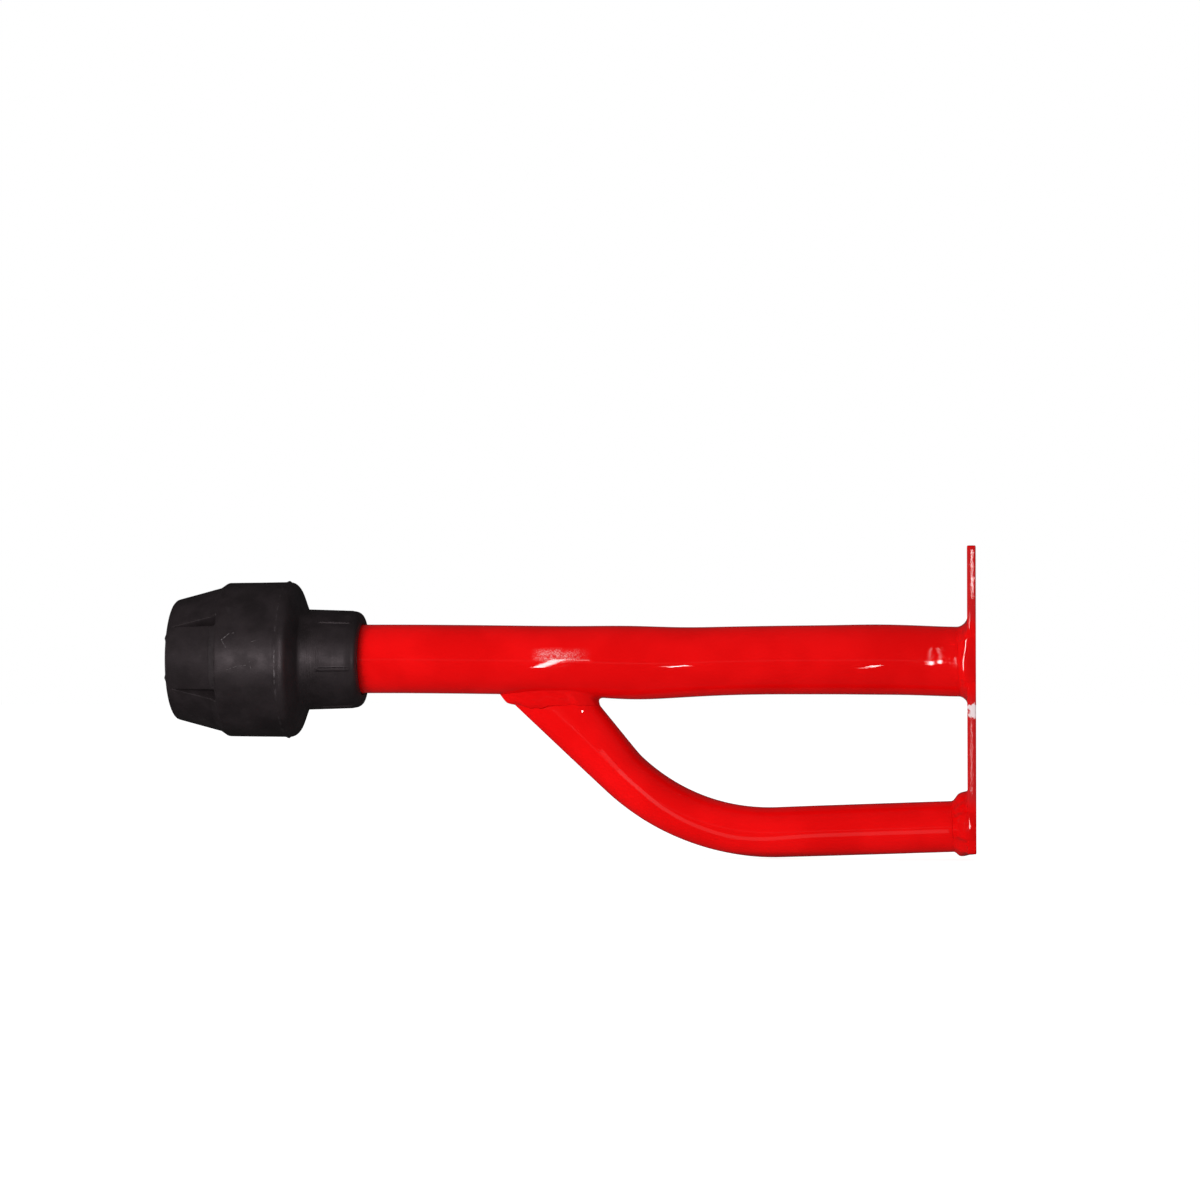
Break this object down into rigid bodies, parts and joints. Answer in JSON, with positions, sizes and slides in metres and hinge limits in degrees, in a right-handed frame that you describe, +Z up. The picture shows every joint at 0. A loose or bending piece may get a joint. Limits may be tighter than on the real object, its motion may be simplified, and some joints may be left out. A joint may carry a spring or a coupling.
{
  "type": "rubber-tipped crash bumper bracket",
  "caption": "Welded red steel tube bracket with a bent brace and a flat bolt-on plate, tipped by a black moulded bumper held on by a bolt.",
  "frame": {"origin": "on the mounting plate's outer face, where the main tube's axis meets it", "axes": "-X along the main tube towards the bumper's nose, +X out of the mounting face, +Z up, the brace below the main tube"},
  "size_m": [0.28, 0.0548, 0.1071],
  "materials": {
    "red_enamel": "gloss red enamel over welded steel tube",
    "black_rubber": "moulded hard black rubber, semi-gloss with scuffs",
    "zinc_steel": "zinc-plated fastener steel"
  },
  "bodies": {
    "frame": {"mounting_plate": "red_enamel", "main_tube": "red_enamel", "brace_tube": "red_enamel", "weld_main_to_plate": "red_enamel", "weld_brace_to_plate": "red_enamel", "weld_brace_to_main": "red_enamel", "tube_end_nut": "zinc_steel", "weld_nut_to_tube": "red_enamel"},
    "bumper": {"rubber_bumper": "black_rubber"},
    "washers": {"flat_washer": "zinc_steel", "spring_washer": "zinc_steel"},
    "bolt": {"bumper_bolt": "zinc_steel"}
  },
  "joints": [
    {"name": "bumper_slide", "type": "slide", "parent": "frame", "child": "bumper", "axis": [-1, 0, 0], "range_m": [0, 0.045]},
    {"name": "bolt_back_out", "type": "slide", "parent": "bumper", "child": "washers", "axis": [-1, 0, 0], "range_m": [0, 0.0125]},
    {"name": "bolt_turn", "type": "hinge", "parent": "washers", "child": "bolt", "pos_m": [-0.2681, 0, 0], "axis": [-1, 0, 0], "range_deg": [0, 2880]}
  ],
  "couplings": [
    {"joint": "bolt_back_out", "follows": "bolt_turn", "m_per_rad": 0.00023873}
  ]
}
